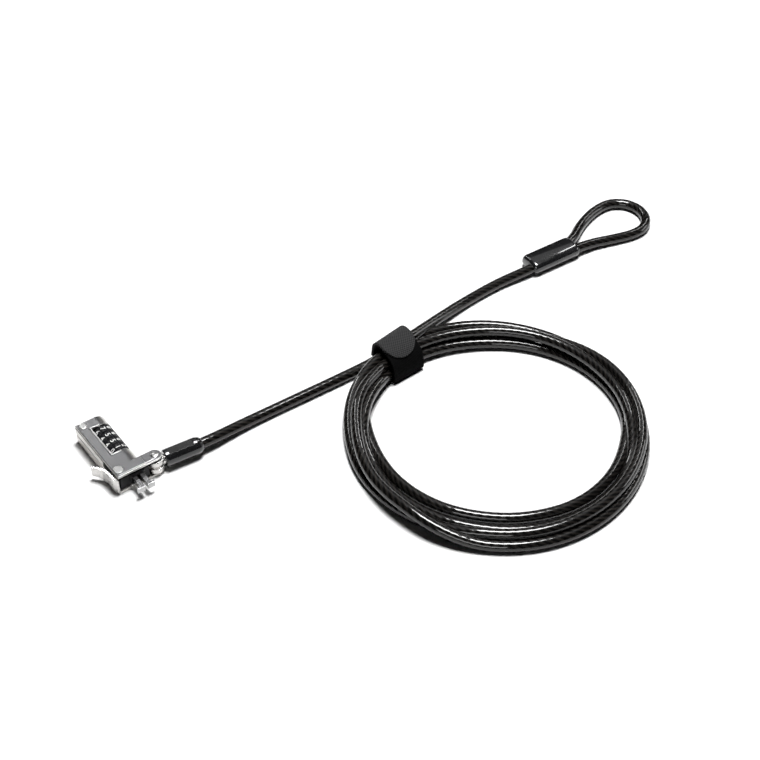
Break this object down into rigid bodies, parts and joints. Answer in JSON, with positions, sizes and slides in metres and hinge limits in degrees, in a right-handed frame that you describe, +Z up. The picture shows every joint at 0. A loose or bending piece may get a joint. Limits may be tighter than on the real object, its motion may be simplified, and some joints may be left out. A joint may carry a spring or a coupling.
{
  "type": "laptop cable lock",
  "caption": "Slim L-shaped combination lock head with a security-slot nib and thumb lever, swivelling on a coiled, strapped steel cable that ends in a crimped loop",
  "frame": {"origin": "Middle of the lock head with its lever, nib, swivel and cable grip, on the surface it lies on", "axes": "+X from the head's long arm through the short arm to the cable and its loop, +Y along the long arm away from the nib, +Z up out of the cover, so the nib points along -Y"},
  "size_m": [0.3191, 0.1725, 0.0128],
  "materials": {
    "cover": "satin grey, fine blasted grain",
    "shell": "satin warm silver",
    "bright": "polished plating",
    "steel": "machined",
    "spring_steel": "drawn wire and strip",
    "black_plastic": "moulded, fine texture",
    "wheel": "satin black with white numbers",
    "grip": "glossy black moulding",
    "cable": "smoky clear sheath over twisted steel wire",
    "ferrule": "crimped",
    "strap": "woven hook and loop tape"
  },
  "bodies": {
    "cable": {"cable_grip": "grip", "cable_ferrule": "ferrule", "cable_lead_lock": "cable", "cable_coil": "cable", "cable_lead_loop": "cable", "cable_loop": "cable", "loop_sleeve": "grip", "loop_ferrule": "ferrule", "strap_band": "strap", "strap_tab": "strap"},
    "swivel": {"swivel_eye": "bright", "swivel_retainer": "steel"},
    "housing": {"top_cover": "cover", "bottom_shell": "shell", "seal_plate": "black_plastic", "dial_bezel": "bright", "front_insert": "black_plastic", "nib_collar": "black_plastic", "core_plate": "steel", "bearing_block": "steel", "end_bush": "steel", "dial_frame": "black_plastic", "detent_spring": "spring_steel", "hook_pins": "steel", "lever_pin": "bright", "cover_screw": "bright", "bottom_screws": "steel", "pivot_rivet": "bright", "pivot_washer": "steel", "return_spring": "spring_steel", "reset_spring": "spring_steel"},
    "lever": {"lever": "bright"},
    "spindle": {"spindle": "steel", "spindle_clip": "steel"},
    "hook_left": {"hook_left": "bright"},
    "hook_right": {"hook_right": "bright"},
    "reset": {"reset_plunger": "bright"},
    "wheel_1": {"dial_wheel_1": "wheel", "clutch_sleeve_1": "steel"},
    "wheel_2": {"dial_wheel_2": "wheel", "clutch_sleeve_2": "steel"},
    "wheel_3": {"dial_wheel_3": "wheel", "clutch_sleeve_3": "steel"},
    "wheel_4": {"dial_wheel_4": "wheel", "clutch_sleeve_4": "steel"}
  },
  "joints": [
    {"name": "barrel_spin", "type": "hinge", "parent": "cable", "child": "swivel", "pos_m": [0.00132, -0.01225, 0.005], "axis": [0.9962, -0.0872, 0], "continuous": true},
    {"name": "head_pivot", "type": "hinge", "parent": "swivel", "child": "housing", "pos_m": [0.00132, -0.01225, 0.005], "axis": [0, 0, 1], "range_deg": [-85, 80]},
    {"name": "wheel_1_turn", "type": "hinge", "parent": "housing", "child": "wheel_1", "pos_m": [-0.00888, 0.00105, 0.005], "axis": [0, 1, 0], "continuous": true},
    {"name": "wheel_2_turn", "type": "hinge", "parent": "housing", "child": "wheel_2", "pos_m": [-0.00888, 0.00555, 0.005], "axis": [0, 1, 0], "continuous": true},
    {"name": "wheel_3_turn", "type": "hinge", "parent": "housing", "child": "wheel_3", "pos_m": [-0.00888, 0.01005, 0.005], "axis": [0, 1, 0], "continuous": true},
    {"name": "wheel_4_turn", "type": "hinge", "parent": "housing", "child": "wheel_4", "pos_m": [-0.00888, 0.01455, 0.005], "axis": [0, 1, 0], "continuous": true},
    {"name": "lever_press", "type": "hinge", "parent": "housing", "child": "lever", "pos_m": [-0.01562, -0.01119, 0.005], "axis": [0, 0, -1], "range_deg": [0, 15], "stiffness_Nm_per_rad": 0.05},
    {"name": "spindle_slide", "type": "slide", "parent": "housing", "child": "spindle", "axis": [0, -1, 0], "range_m": [0, 0.00185], "deforming": ["return_spring"]},
    {"name": "hook_left_pivot", "type": "hinge", "parent": "housing", "child": "hook_left", "pos_m": [-0.01088, -0.01215, 0.005], "axis": [0, 0, 1], "range_deg": [0, 3.61]},
    {"name": "hook_right_pivot", "type": "hinge", "parent": "housing", "child": "hook_right", "pos_m": [-0.00688, -0.01215, 0.005], "axis": [0, 0, -1], "range_deg": [0, 3.61]},
    {"name": "reset_press", "type": "slide", "parent": "housing", "child": "reset", "axis": [0, 1, 0], "range_m": [0, 0.001], "stiffness_N_per_m": 100, "deforming": ["reset_spring"]}
  ],
  "couplings": [
    {"joint": "spindle_slide", "follows": "lever_press", "m_per_rad": 0.00706},
    {"joint": "hook_left_pivot", "follows": "lever_press", "ratio": 0.24},
    {"joint": "hook_right_pivot", "follows": "lever_press", "ratio": 0.24}
  ]
}
